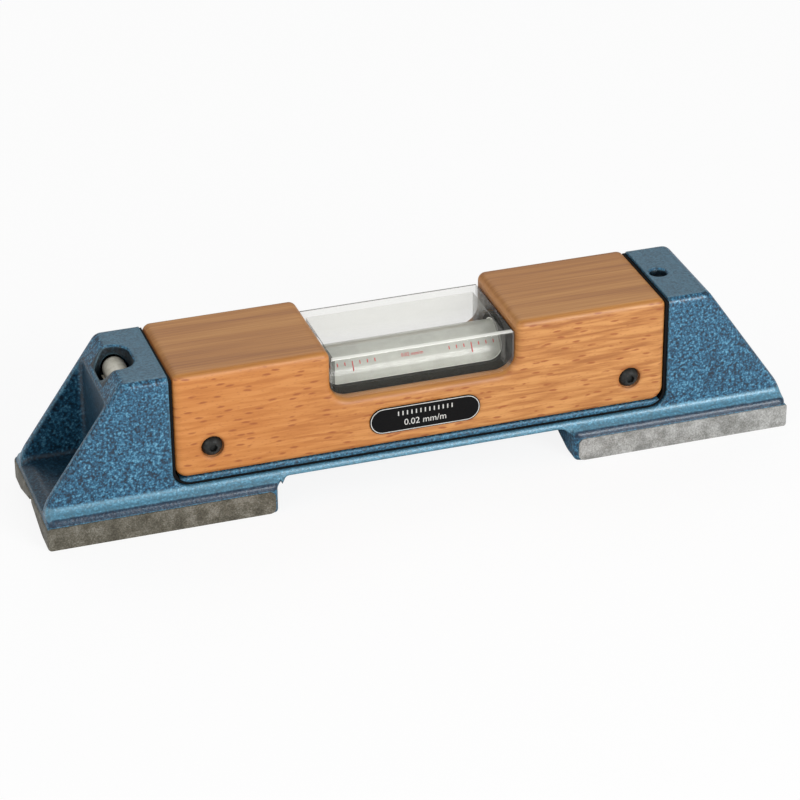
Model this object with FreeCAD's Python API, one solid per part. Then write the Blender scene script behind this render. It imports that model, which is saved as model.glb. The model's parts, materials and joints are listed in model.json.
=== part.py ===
"""Precision machinist level: V-soled cast body, wooden hood, adjustable main vial and cross vial."""
import FreeCAD, Part
import math
import os

# Millimetres. X runs along the level, Y from front to back, Z up.
# The origin is at the middle of the sole.

# ---- cast body: feet and bridge
LENGTH = 200.0              # over the ground end pads
FLANGE_REACH = 3.05         # from the wall out to a foot's painted side
FOOT_LENGTH = 60.0          # each foot, from the level's end inwards
BRIDGE_CLEARANCE = 8.75     # height of the bridge above the sole plane
BRIDGE_FILLET = 3.5         # between the bridge and the inner end of a foot
SOLE_EDGE_R = 0.8           # painted lower edge of a foot's inner end
V_HALF_WIDTH = 15.5         # half the width of the V in the sole
V_DEPTH = 4.2
V_RELIEF_WIDTH = 1.8        # relief groove along the apex of the V
V_RELIEF_DEPTH = 1.0

# ---- cast body: ground pads round the feet
PAD_HEIGHT = 6.2
PAD_PROUD = 0.4             # how far the ground faces stand out of the painted casting
PAD_CORNER_R = 1.6          # inner corners of the side faces
PAD_END_R = 1.0             # outer corners of the side faces
PAD_INNER_MARGIN = 1.0      # painted strip between a side face and the foot's inner end

# ---- cast body: flange and walls
FLANGE_HEIGHT = 7.9
FLANGE_EDGE_R = 2.0
FLARE_HEIGHT = 8.9          # where the flange runs into the wall
FLARE_R = 2.0
WALL_STEP = 0.25            # wall stands this far outside the hood at its base
WALL_DRAFT = 0.55           # each wall leans in by this much up to the block top
BLOCK_TOP_LENGTH = 11.4     # flat top of an end block
CREASE_R = 3.0              # between the flat top and the slope
TOE_HEIGHT = 9.5            # where the slope would meet the foot's end face
TOE_R = 11.0
RIM_R = 1.8                 # rounded rims of blocks, slopes and foot corners

# ---- cast body: end pockets
POCKET_DEPTH = 17.6         # from the foot's end face in to the block's end wall
GUSSET_T = 3.1              # side walls of a pocket at their foot
POCKET_FLOOR = 8.6
POCKET_R = 1.6
POCKET_ROLL_R = 2.6         # where the floor rolls over to the end face
POCKET_ROLL = 2.6
POCKET_LIP = 1.3            # drop of the floor's lip below the pocket floor

# ---- wooden hood and its seat
HOOD_INSET = 34.3           # from the level's end to the hood
HOOD_WIDTH = 31.6
HOOD_PROUD = 0.3            # hood's top above the block tops
HOOD_SEAT = 12.1            # height of the ledge that carries the hood
HOOD_LOW_R = 3.5
HOOD_HIGH_R = 2.2
HOOD_EDGE_R = 1.8
HOOD_WALL = 3.4
HOOD_END_WALL = 3.6
HOOD_ROOF = 3.7
NOTCH_LENGTH = 49.6         # window notch across the hood
NOTCH_DEPTH = 14.3
NOTCH_R = 5.0
SEAT_SETBACK = 0.2          # ledge face behind the hood face

# ---- seal between hood and casting
SEAL_T = 0.9
SEAL_FLOOR = 9.95
SEAL_CORNER_R = 4.5
SEAL_SINK = 0.6             # seal's edge behind the hood face
SEAL_DEPTH = 1.8            # depth of the groove under the ledge
SEAL_TOP_SINK = 0.9         # seal's top edge below the block top
CORNER_EASE = 0.4           # radius difference that keeps seal corners clear

# ---- window cover
COVER_GAP = 0.3
COVER_SINK = 2.6            # top of the cover below the hood top
COVER_SETBACK = 1.5         # front of the cover behind the hood face
COVER_T = 1.7
COVER_EDGE_R = 1.2

# ---- hood screws (socket button heads) and the plate
SCREW_INSET = 9.7           # from the hood's end to the screws
SCREW_RISE = 7.9            # screws' axis above the hood's seat
HEAD_R = 2.75
HEAD_H = 1.65
HEAD_PROUD = 0.75
HEAD_FLAT_R = 1.5
KEY_AF = 2.0
KEY_DEPTH = 1.0
SCREW_R = 1.5
SCREW_HOLE_CLEARANCE = 0.15
HEAD_CLEARANCE = 0.25
SCREW_REACH = 3.0           # thread length held in a mount block
PLATE_LENGTH = 29.6
PLATE_HEIGHT = 7.3
PLATE_RISE = 7.25           # middle of the plate above the hood's seat
PLATE_T = 0.6
PLATE_PROUD = 0.3

# ---- mount blocks under the hood
MOUNT_T = 7.0
MOUNT_SIDE_CLEARANCE = 0.1
MOUNT_FLANGE = 8.5          # length of the flange beyond the upright
MOUNT_FLANGE_T = 3.0
MOUNT_LEFT_RISE = 5.0       # top of the block above the screws' axis
MOUNT_RIGHT_RISE = 4.0
BASE_SCREW_Y = 8.5
BASE_SCREW_R = 1.5
BASE_SCREW_HEAD_R = 2.6
BASE_SCREW_HEAD_H = 1.7
BASE_SCREW_REACH = 5.0
BASE_SCREW_INSET = 4.0      # from the flange's free end
BASE_KEY_AF = 2.0
BASE_KEY_DEPTH = 0.9

# ---- main vial and its carrier
CARRIER_R = 9.0
CARRIER_BORE_R = 7.4
CARRIER_END_GAP = 0.5       # from a carrier cap to the mount block beside it
CARRIER_LIFT = 1.2          # above the heads of the mount block screws
CARRIER_HEADROOM = 1.6      # under the hood's roof
WINDOW_HALF = 24.0
WINDOW_SILL = 0.3           # above the carrier axis
WINDOW_R = 4.0
VIAL_CLEARANCE = 0.1
VIAL_WALL = 1.2
VIAL_DOME_R = 4.0
FLUID_CLEARANCE = 0.05
BUBBLE_LENGTH = 28.0
BUBBLE_INSET = 3.75         # from the liquid's left end to the bubble
BUBBLE_R = 3.2
BUBBLE_DEPTH = 2.2
CEMENT_T = 3.6
CEMENT_ROOM = 2.4           # between the cement and a cap's spigot
CAP_T = 2.0
SPIGOT_LENGTH = 2.0
SPIGOT_CLEARANCE = 0.05

# ---- pivot at the left end of the carrier
PIVOT_R = 1.5
PIVOT_FIT = 0.05
PIVOT_HALF = 7.5
TONGUE_T = 5.0
TONGUE_GAP = 0.25
TONGUE_R = 3.2              # rounded end of the tongue about the pin
FORK_CLEARANCE = 1.4        # under the tongue

# ---- adjusting screw in the right end block
ADJUST_INSET = 3.2          # from the block's inner face to the screw's axis
ACCESS_R = 2.3
ACCESS_CHAMFER = 0.4
ADJUST_HEAD_FIT = 0.08
ADJUST_HEAD_H = 2.4
ADJUST_HEAD_DROP = 5.7      # underside of the head below the block top
ADJUST_R = 1.5
ADJUST_FIT = 0.08
ADJUST_KEY_AF = 2.0
ADJUST_KEY_DEPTH = 1.2
SHOULDER_T = 1.3            # web that carries the head
CAVITY_DROP = 5.0           # cavity's floor below the carrier's axis
CAVITY_HALF = 4.5
CAVITY_BEYOND = 4.6         # past the screw's axis
TIP_REACH = 3.0             # screw tip in the floor of the cavity
RETAINER_H = 0.8
RETAINER_HOLE_R = 1.4
RETAINER_FIT = 0.02
END_PLAY = 0.05
ARM_HALF = 3.0
ARM_T = 3.0
ARM_BEYOND = 3.4            # past the screw's axis
NUT_R = 2.2
NUT_FLANGE_R = 2.8
NUT_FLANGE_T = 0.8
NUT_FIT = 0.02

# ---- cross vial in the left end block
SLOT_WIDTH = 9.0
SLOT_LENGTH = 13.0
SLOT_WALL = 1.0             # between the slot and the pocket
SLOT_DEPTH = 10.2
SLOT_RIM = 0.35
CROSS_X_SHIFT = 1.2         # vial axis from the slot's middle, towards the hood
CROSS_DROP = 6.2            # vial axis below the block top
CROSS_R = 3.1
CROSS_WALL = 0.7
CROSS_FRONT = 10.8          # front end of the vial, ahead of the middle
CROSS_BACK = 8.5
CROSS_BUBBLE_R = 1.3
CROSS_BUBBLE_DEPTH = 1.0
CROSS_BUBBLE_LENGTH = 5.0
CROSS_BORE_GAP = 0.6
CROSS_FIT = 0.05
CROSS_BORE_FRONT = 11.4
PLASTER_TOP = -1.2          # upper edge of the plaster bed, from the vial's axis
PLUG_T = 2.6
PLUG_SINK = 0.3
PLUG_FIT = 0.05

# ---- sizes that follow
MARGIN = 10.0               # how far cutting tools run past the solid
END_X = LENGTH / 2 - PAD_PROUD
FOOT_X = LENGTH / 2 - FOOT_LENGTH
HOOD_X = LENGTH / 2 - HOOD_INSET
HOOD_Y = HOOD_WIDTH / 2
WALL_Y = HOOD_Y + WALL_STEP
SIDE_Y = WALL_Y + FLANGE_REACH
FOOT_Y = SIDE_Y + PAD_PROUD
VIAL_AXIS_Z = HOOD_SEAT + MOUNT_FLANGE_T + BASE_SCREW_HEAD_H + CARRIER_LIFT + CARRIER_R
HOOD_TOP = VIAL_AXIS_Z + CARRIER_R + CARRIER_HEADROOM + HOOD_ROOF
BLOCK_TOP = HOOD_TOP - HOOD_PROUD
NOTCH_FLOOR = HOOD_TOP - NOTCH_DEPTH
SCREW_Z = HOOD_SEAT + SCREW_RISE
PLATE_Z = HOOD_SEAT + PLATE_RISE
RECESS_X = HOOD_X + SEAL_T
CREASE_X = RECESS_X + BLOCK_TOP_LENGTH
SCREW_X = HOOD_X - SCREW_INSET
POCKET_X = END_X - POCKET_DEPTH
SLOT_X = POCKET_X - SLOT_WALL - SLOT_WIDTH / 2
CROSS_X = SLOT_X - CROSS_X_SHIFT
SLOT_FLOOR = BLOCK_TOP - SLOT_DEPTH
CROSS_Z = BLOCK_TOP - CROSS_DROP
ADJUST_X = RECESS_X + ADJUST_INSET
ADJUST_HEAD_Z = BLOCK_TOP - ADJUST_HEAD_DROP
CAVITY_FLOOR = VIAL_AXIS_Z - CAVITY_DROP
COVER_X = NOTCH_LENGTH / 2 - COVER_GAP
COVER_Y = HOOD_Y - COVER_SETBACK
COVER_TOP = HOOD_TOP - COVER_SINK
CARRIER_HALF = SCREW_X - MOUNT_T / 2 - CARRIER_END_GAP - CAP_T
VIAL_HALF = CARRIER_HALF - SPIGOT_LENGTH - CEMENT_ROOM - CEMENT_T
VIAL_R = CARRIER_BORE_R - VIAL_CLEARANCE
VIAL_BORE_R = VIAL_R - VIAL_WALL
MOUNT_Y = HOOD_Y - HOOD_WALL - MOUNT_SIDE_CLEARANCE


def vec(x, y, z):
    return FreeCAD.Vector(x, y, z)


# ---------------------------------------------------------------- helpers
def corner_run(before, here, after, radius):
    """Start, middle and end of the arc that rounds one corner, or the bare corner."""
    if radius <= 0:
        return here, None, here
    to_before = (before - here).normalize()
    to_after = (after - here).normalize()
    half = to_before.getAngle(to_after) / 2
    reach = radius / math.tan(half)
    inward = (to_before + to_after).normalize()
    middle = here + inward * (radius / math.sin(half) - radius)
    return here + to_before * reach, middle, here + to_after * reach


def rounded_wire(corners, place):
    """Closed wire through (u, v, radius) corners, laid out in space by place(u, v)."""
    points = [vec(u, v, 0) for u, v, radius in corners]
    count = len(corners)
    runs = []
    for i in range(count):
        after = points[(i + 1) % count]
        runs.append(corner_run(points[i - 1], points[i], after, corners[i][2]))
    edges = []
    for i in range(count):
        start, middle, end = [p and place(p.x, p.y) for p in runs[i]]
        if middle:
            edges.append(Part.Arc(start, middle, end).toShape())
        following = runs[(i + 1) % count][0]
        following = place(following.x, following.y)
        if (following - end).Length > 1e-7:
            edges.append(Part.makeLine(end, following))
    return Part.Wire(edges)


def prism_x(corners, x0, x1):
    """Outline in (Y, Z) extruded from x0 to x1."""
    wire = rounded_wire(corners, lambda u, v: vec(x0, u, v))
    return Part.Face(wire).extrude(vec(x1 - x0, 0, 0))


def prism_y(corners, y0, y1):
    """Outline in (X, Z) extruded from y0 to y1."""
    wire = rounded_wire(corners, lambda u, v: vec(u, y0, v))
    return Part.Face(wire).extrude(vec(0, y1 - y0, 0))


def prism_z(corners, z0, z1):
    """Outline in (X, Y) extruded from z0 to z1."""
    wire = rounded_wire(corners, lambda u, v: vec(u, v, z0))
    return Part.Face(wire).extrude(vec(0, 0, z1 - z0))


def block(x0, x1, y0, y1, z0, z1):
    return Part.makeBox(x1 - x0, y1 - y0, z1 - z0, vec(x0, y0, z0))


def rod(radius, start, end):
    """Solid cylinder from one point to another."""
    return Part.makeCylinder(radius, (end - start).Length, start, end - start)


def rectangle(u0, u1, v0, v1, radius):
    return [(u0, v0, radius), (u1, v0, radius), (u1, v1, radius), (u0, v1, radius)]


def hexagon(across_flats, height, base, axis):
    """Hexagonal prism on an axis, for key sockets."""
    reach = across_flats / 2 / math.cos(math.pi / 6)
    side = FreeCAD.Rotation(vec(0, 0, 1), axis)
    points = []
    for i in range(7):
        turn = math.pi / 3 * i
        flat = vec(reach * math.cos(turn), reach * math.sin(turn), 0)
        points.append(base + side.multVec(flat))
    return Part.Face(Part.makePolygon(points)).extrude(axis * height)


def mirrored(shape, normal):
    return shape.mirror(vec(0, 0, 0), normal)


def pair(shape, normal):
    """The shape and its mirror image as one group."""
    return Part.makeCompound([shape, mirrored(shape, normal)])


def both(shape, normal):
    """The shape and its mirror image as two tools."""
    return [shape, mirrored(shape, normal)]


def edges_where(shape, test):
    return [edge for edge in shape.Edges if test(edge.CenterOfMass)]


ACROSS_X = vec(1, 0, 0)
ACROSS_Y = vec(0, 1, 0)
UP = vec(0, 0, 1)


# ---------------------------------------------------------------- cast body
def wall_at(height):
    """Half width of the drafted wall at a height."""
    share = (height - FLARE_HEIGHT) / (BLOCK_TOP - FLARE_HEIGHT)
    return WALL_Y - WALL_DRAFT * share


def body_side_outline():
    """Side view: feet, bridge, slopes, block tops and the recess for the hood."""
    right = [
        (FOOT_X, BRIDGE_CLEARANCE, BRIDGE_FILLET),
        (FOOT_X, 0, SOLE_EDGE_R),
        (END_X, 0, 0),
        (END_X, TOE_HEIGHT, TOE_R),
        (CREASE_X, BLOCK_TOP, CREASE_R),
        (RECESS_X, BLOCK_TOP, 0),
        (RECESS_X, SEAL_FLOOR, SEAL_CORNER_R),
    ]
    left = [(-x, z, radius) for x, z, radius in reversed(right)]
    return right + left


def body_section():
    """Cross-section: foot side, flange, flare and drafted wall."""
    top = BLOCK_TOP + MARGIN
    right = [
        (SIDE_Y, -MARGIN, 0),
        (SIDE_Y, FLANGE_HEIGHT, FLANGE_EDGE_R),
        (WALL_Y, FLARE_HEIGHT, FLARE_R),
        (wall_at(top), top, 0),
    ]
    left = [(-y, z, radius) for y, z, radius in reversed(right)]
    return right + left


def body_blank():
    outline = prism_y(body_side_outline(), -FOOT_Y - MARGIN, FOOT_Y + MARGIN)
    section = prism_x(body_section(), -LENGTH, LENGTH)
    blank = outline.common(section)
    rims = edges_where(blank, is_block_rim)
    return blank.makeFillet(RIM_R, rims)


def is_block_rim(middle):
    """Side edges of an end block's flat top."""
    on_top = abs(middle.z - BLOCK_TOP) < 0.01
    return on_top and abs(middle.y) > 1 and RECESS_X < abs(middle.x) < CREASE_X


def foot_inner_corner():
    """Tool that rounds a foot's inner vertical corner (right front)."""
    reach = SIDE_Y + PAD_PROUD
    tool = block(FOOT_X - 1, FOOT_X + RIM_R, SIDE_Y - RIM_R, reach, -1, BRIDGE_CLEARANCE)
    core = vec(FOOT_X + RIM_R, SIDE_Y - RIM_R, -1)
    return tool.cut(rod(RIM_R, core, core + UP * MARGIN))


def ground_pad():
    """Ground block round the right foot, standing out of the painted casting."""
    inner = FOOT_X + PAD_INNER_MARGIN
    outer = LENGTH / 2
    side = FOOT_Y
    view = [
        (inner, 0, PAD_CORNER_R),
        (outer, 0, PAD_END_R),
        (outer, PAD_HEIGHT, PAD_END_R),
        (inner, PAD_HEIGHT, PAD_CORNER_R),
    ]
    plan = [
        (inner, -side, 0),
        (outer, -side, PAD_END_R),
        (outer, side, PAD_END_R),
        (inner, side, 0),
    ]
    return prism_y(view, -side, side).common(prism_z(plan, 0, PAD_HEIGHT))


def v_groove():
    """Tool for the V along both soles, with its relief at the apex."""
    half = V_RELIEF_WIDTH / 2
    vee = [(-V_HALF_WIDTH, 0, 0), (0, V_DEPTH, 0), (V_HALF_WIDTH, 0, 0), (0, -V_DEPTH, 0)]
    groove = prism_x(vee, -LENGTH, LENGTH)
    relief = block(-LENGTH, LENGTH, -half, half, 0, V_DEPTH + V_RELIEF_DEPTH)
    return groove.fuse(relief)


def end_pocket():
    """Tool for the right end pocket between its two gussets."""
    half = WALL_Y - GUSSET_T
    lip = POCKET_FLOOR - POCKET_LIP
    outline = [
        (POCKET_X, POCKET_FLOOR, POCKET_R),
        (END_X - POCKET_ROLL, POCKET_FLOOR, POCKET_ROLL_R),
        (END_X, lip, 0),
        (END_X + MARGIN, lip - MARGIN * POCKET_LIP / POCKET_ROLL, 0),
        (END_X + MARGIN, BLOCK_TOP + MARGIN, 0),
        (POCKET_X, BLOCK_TOP + MARGIN, 0),
    ]
    tool = prism_y(outline, -half, half)
    sides = [e for e in tool.Edges if is_pocket_side(e, half)]
    return tool.makeFillet(POCKET_R * 0.9, sides)


def is_pocket_side(edge, half):
    """Lower outline of one side of the pocket tool."""
    middle = edge.CenterOfMass
    if abs(abs(middle.y) - half) > 0.01:
        return False
    return middle.x < END_X and middle.z < BLOCK_TOP


def slot_wire(grow, height):
    """Round-ended outline of the slot, grown by an amount, at a height."""
    half_x = SLOT_WIDTH / 2 + grow
    half_y = SLOT_LENGTH / 2 + grow
    plan = rectangle(-SLOT_X - half_x, -SLOT_X + half_x, -half_y, half_y, half_x * 0.98)
    return rounded_wire(plan, lambda u, v: vec(u, v, height))


def viewing_slot():
    """Tool for the slot over the cross vial."""
    low = slot_wire(0, BLOCK_TOP - SLOT_RIM)
    high = slot_wire(SLOT_RIM, BLOCK_TOP)
    shaft = Part.Face(slot_wire(0, SLOT_FLOOR)).extrude(UP * (BLOCK_TOP - SLOT_FLOOR))
    rim = Part.makeLoft([low, high], True, True)
    return shaft.fuse([rim, Part.Face(high).extrude(UP * MARGIN)])


def cross_bore():
    """Tool for the bore that takes the cross vial from the back."""
    radius = CROSS_R + CROSS_BORE_GAP
    start = vec(-CROSS_X, -CROSS_BORE_FRONT, CROSS_Z)
    return rod(radius, start, vec(-CROSS_X, WALL_Y + MARGIN, CROSS_Z))


def adjusting_cavity():
    """Tools for the access bore, the cavity for the arm and the tip's seat."""
    axis = vec(ADJUST_X, 0, 0)
    head = rod(ACCESS_R, axis + UP * ADJUST_HEAD_Z, axis + UP * (BLOCK_TOP + MARGIN))
    rim = Part.makeCone(ACCESS_R, ACCESS_R + ACCESS_CHAMFER, ACCESS_CHAMFER,
                        axis + UP * (BLOCK_TOP - ACCESS_CHAMFER), UP)
    shank_r = ADJUST_R + ADJUST_FIT
    shank = rod(shank_r, axis + UP * (CAVITY_FLOOR - TIP_REACH - END_PLAY), axis + UP * BLOCK_TOP)
    room = block(RECESS_X - 1, ADJUST_X + CAVITY_BEYOND, -CAVITY_HALF, CAVITY_HALF,
                 CAVITY_FLOOR, ADJUST_HEAD_Z - SHOULDER_T)
    return [head, rim, shank, room]


def hood_seat():
    """Ledge that carries the hood, with the seal's groove under its front and back edges."""
    face_y = HOOD_Y - SEAT_SETBACK
    low = SEAL_FLOOR + SEAL_T
    inner_r = SEAL_CORNER_R - SEAL_T + CORNER_EASE
    outline = [
        (-HOOD_X, low, inner_r),
        (HOOD_X, low, inner_r),
        (HOOD_X, HOOD_TOP, 0),
        (-HOOD_X, HOOD_TOP, 0),
    ]
    ledge = prism_y(outline, -face_y, face_y)
    ledge = ledge.common(block(-HOOD_X, HOOD_X, -face_y, face_y, 0, HOOD_SEAT))
    core_y = face_y - SEAL_DEPTH
    core_x = HOOD_X - SEAL_CORNER_R
    core = block(-core_x, core_x, -core_y, core_y, SEAL_FLOOR - 1, HOOD_SEAT)
    return ledge.fuse(core)


def base_screw_points():
    """Feet of the four screws that hold the mount blocks."""
    x = SCREW_X - MOUNT_T / 2 - MOUNT_FLANGE + BASE_SCREW_INSET
    return [vec(sx * x, sy * BASE_SCREW_Y, 0) for sx in (-1, 1) for sy in (-1, 1)]


def base_casting():
    body = body_blank()
    corners = []
    for tool in both(foot_inner_corner(), ACROSS_X):
        corners += both(tool, ACROSS_Y)
    body = body.cut(corners)
    body = body.fuse(both(ground_pad(), ACROSS_X) + [hood_seat()])
    body = body.cut(both(end_pocket(), ACROSS_X) + [v_groove()])
    body = body.cut([viewing_slot(), cross_bore()] + adjusting_cavity())
    low = HOOD_SEAT - BASE_SCREW_REACH
    holes = [rod(BASE_SCREW_R, p + UP * low, p + UP * (HOOD_SEAT + 1)) for p in base_screw_points()]
    return body.cut(holes).removeSplitter()


# ---------------------------------------------------------------- hood, seal, cover
def hood_seal():
    """U-shaped strip under the hood's front and back edges and sheets at its two ends."""
    half_y = HOOD_Y - SEAL_SINK
    top = BLOCK_TOP - SEAL_TOP_SINK
    outer_r = SEAL_CORNER_R + CORNER_EASE
    inner_r = SEAL_CORNER_R - SEAL_T
    outer = prism_y([
        (-RECESS_X, SEAL_FLOOR, outer_r),
        (RECESS_X, SEAL_FLOOR, outer_r),
        (RECESS_X, top, 0),
        (-RECESS_X, top, 0),
    ], -half_y, half_y)
    inner = prism_y([
        (-HOOD_X, SEAL_FLOOR + SEAL_T, inner_r),
        (HOOD_X, SEAL_FLOOR + SEAL_T, inner_r),
        (HOOD_X, top + 1, 0),
        (-HOOD_X, top + 1, 0),
    ], -HOOD_WIDTH, HOOD_WIDTH)
    core_y = HOOD_Y - SEAT_SETBACK - SEAL_DEPTH
    core_x = HOOD_X - SEAL_CORNER_R
    core = block(-core_x, core_x, -core_y, core_y, SEAL_FLOOR - 1, HOOD_SEAT)
    arm_room = block(RECESS_X - MARGIN, RECESS_X + 1, -CAVITY_HALF, CAVITY_HALF,
                     CAVITY_FLOOR, ADJUST_HEAD_Z - SHOULDER_T)
    return outer.cut([inner, core, arm_room])


def wood_hood():
    """Hollow wooden hood with the window notch across its middle."""
    notch_x = NOTCH_LENGTH / 2
    right = [
        (HOOD_X, HOOD_SEAT, HOOD_LOW_R),
        (HOOD_X, HOOD_TOP, HOOD_HIGH_R),
        (notch_x, HOOD_TOP, HOOD_HIGH_R),
        (notch_x, NOTCH_FLOOR, NOTCH_R),
    ]
    left = [(-x, z, radius) for x, z, radius in reversed(right)]
    hood = prism_y(right + left, -HOOD_Y, HOOD_Y)
    faces = edges_where(hood, lambda middle: abs(abs(middle.y) - HOOD_Y) < 0.01)
    hood = hood.makeFillet(HOOD_EDGE_R, faces)
    inner_x = HOOD_X - HOOD_END_WALL
    inner_y = HOOD_Y - HOOD_WALL
    room = block(-inner_x, inner_x, -inner_y, inner_y, HOOD_SEAT - 1, HOOD_TOP - HOOD_ROOF)
    arm_way = block(inner_x - 1, HOOD_X + 1, -CAVITY_HALF, CAVITY_HALF,
                    CAVITY_FLOOR, ADJUST_HEAD_Z - SHOULDER_T)
    tools = [room, arm_way, plate_blank(HOOD_Y - PLATE_T + PLATE_PROUD)]
    for x in (-SCREW_X, SCREW_X):
        tools += screw_way(x)
    return hood.cut(tools)


def screw_way(x):
    """Clearance hole and head seats for the front and back screws at one end."""
    across = vec(0, HOOD_WIDTH, 0)
    centre = vec(x, 0, SCREW_Z)
    seat_y = HOOD_Y + HEAD_PROUD - HEAD_H
    seat = rod(HEAD_R + HEAD_CLEARANCE, vec(x, seat_y, SCREW_Z), vec(x, HOOD_WIDTH, SCREW_Z))
    hole = rod(SCREW_R + SCREW_HOLE_CLEARANCE, centre - across, centre + across)
    return [hole] + both(seat, ACROSS_Y)


def plate_blank(depth):
    """Pill-shaped plate outline on the front face, from a depth out to its face."""
    half = PLATE_LENGTH / 2
    rise = PLATE_HEIGHT / 2
    outline = rectangle(-half, half, PLATE_Z - rise, PLATE_Z + rise, rise * 0.98)
    return prism_y(outline, -HOOD_Y - PLATE_PROUD, -depth)


def window_cover():
    """Clear cover in the notch, open below and arched over the carrier."""
    corner_r = NOTCH_R - COVER_GAP
    outline = [
        (-COVER_X, NOTCH_FLOOR, corner_r),
        (COVER_X, NOTCH_FLOOR, corner_r),
        (COVER_X, COVER_TOP, 0),
        (-COVER_X, COVER_TOP, 0),
    ]
    cover = prism_y(outline, -COVER_Y, COVER_Y)
    rims = edges_where(cover, lambda middle: abs(middle.z - COVER_TOP) < 0.01)
    cover = cover.makeFillet(COVER_EDGE_R, rims)
    inner_x = COVER_X - COVER_T
    inner_y = COVER_Y - COVER_T
    room = block(-inner_x, inner_x, -inner_y, inner_y, NOTCH_FLOOR - 1, COVER_TOP - COVER_T)
    arch_r = CARRIER_R + COVER_GAP * 2
    axis = vec(COVER_X + 1, 0, VIAL_AXIS_Z)
    arch = rod(arch_r, axis - ACROSS_X * (2 * COVER_X + 2), axis)
    ends = block(-COVER_X - 1, COVER_X + 1, -arch_r, arch_r, NOTCH_FLOOR - 1, VIAL_AXIS_Z)
    return cover.cut([room, arch, ends])


# ---------------------------------------------------------------- screws
def button_screw(x):
    """Front hood screw: domed head with a key socket, and its thread."""
    seat_y = -HOOD_Y - HEAD_PROUD + HEAD_H
    top_y = seat_y - HEAD_H
    end_y = -MOUNT_Y + SCREW_REACH
    drop = (HEAD_R ** 2 - HEAD_FLAT_R ** 2 + HEAD_H ** 2) / (2 * HEAD_H)
    dome_r = math.hypot(HEAD_FLAT_R, drop)
    turn = (math.asin(HEAD_FLAT_R / dome_r) + math.asin(min(1.0, HEAD_R / dome_r))) / 2
    bulge = vec(dome_r * math.sin(turn), top_y + drop - dome_r * math.cos(turn), 0)
    start = vec(0, top_y, 0)
    shoulder = vec(HEAD_FLAT_R, top_y, 0)
    rim = vec(HEAD_R, seat_y, 0)
    profile = [Part.makeLine(start, shoulder), Part.Arc(shoulder, bulge, rim).toShape()]
    points = [rim, vec(SCREW_R, seat_y, 0), vec(SCREW_R, end_y, 0), vec(0, end_y, 0), start]
    profile += [Part.makeLine(a, b) for a, b in zip(points, points[1:])]
    screw = Part.Face(Part.Wire(profile)).revolve(vec(0, 0, 0), ACROSS_Y, 360)
    socket = hexagon(KEY_AF, KEY_DEPTH, vec(0, top_y, 0), ACROSS_Y)
    screw = screw.cut(socket)
    screw.translate(vec(x, 0, SCREW_Z))
    return screw


def hood_screws_front():
    return Part.makeCompound([button_screw(-SCREW_X), button_screw(SCREW_X)])


def hood_screws_back():
    return Part.makeCompound([mirrored(button_screw(x), ACROSS_Y) for x in (-SCREW_X, SCREW_X)])


def mount_block_screws():
    """Low-headed screws that hold the two mount blocks to the casting."""
    seat = HOOD_SEAT + MOUNT_FLANGE_T
    top = seat + BASE_SCREW_HEAD_H
    screws = []
    for foot in base_screw_points():
        head = rod(BASE_SCREW_HEAD_R, foot + UP * seat, foot + UP * top)
        shank = rod(BASE_SCREW_R, foot + UP * (HOOD_SEAT - BASE_SCREW_REACH), foot + UP * seat)
        socket = hexagon(BASE_KEY_AF, BASE_KEY_DEPTH, foot + UP * (top - BASE_KEY_DEPTH), UP)
        screws.append(head.fuse(shank).cut(socket))
    return Part.makeCompound(screws)


# ---------------------------------------------------------------- mount blocks and pivot
def mount_blank(top):
    """Right-hand mount block: upright under the hood screws and flange towards the middle."""
    x0 = SCREW_X - MOUNT_T / 2
    x1 = SCREW_X + MOUNT_T / 2
    outline = [
        (x0 - MOUNT_FLANGE, HOOD_SEAT, 0),
        (x1, HOOD_SEAT, 0),
        (x1, top, 0),
        (x0, top, 0),
        (x0, HOOD_SEAT + MOUNT_FLANGE_T, 0),
        (x0 - MOUNT_FLANGE, HOOD_SEAT + MOUNT_FLANGE_T, 0),
    ]
    blank = prism_y(outline, -MOUNT_Y, MOUNT_Y)
    thread = rod(SCREW_R, vec(SCREW_X, MOUNT_Y - SCREW_REACH, SCREW_Z), vec(SCREW_X, HOOD_WIDTH, SCREW_Z))
    tools = both(thread, ACROSS_Y)
    for foot in base_screw_points():
        tools.append(rod(BASE_SCREW_R, foot, foot + UP * HOOD_TOP))
    return blank.cut(tools)


def mount_block_left():
    """Left mount block, forked round the carrier's tongue and bored for the pivot pin."""
    blank = mirrored(mount_blank(SCREW_Z + MOUNT_LEFT_RISE), ACROSS_X)
    gap = TONGUE_T / 2 + TONGUE_GAP
    outer = SCREW_X + MOUNT_T
    inner = SCREW_X - MOUNT_T / 2 - TONGUE_GAP
    floor = SCREW_Z - TONGUE_R - FORK_CLEARANCE
    fork = block(-outer, -inner, -gap, gap, floor, SCREW_Z + MOUNT_LEFT_RISE + 1)
    pin = rod(PIVOT_R, vec(-SCREW_X, -PIVOT_HALF, SCREW_Z), vec(-SCREW_X, PIVOT_HALF, SCREW_Z))
    return blank.cut([fork, pin])


def mount_block_right():
    return mount_blank(SCREW_Z + MOUNT_RIGHT_RISE)


def pivot_pin():
    return rod(PIVOT_R, vec(-SCREW_X, -PIVOT_HALF, SCREW_Z), vec(-SCREW_X, PIVOT_HALF, SCREW_Z))


# ---------------------------------------------------------------- main vial and carrier
def vial_axis(x):
    return vec(x, 0, VIAL_AXIS_Z)


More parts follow.
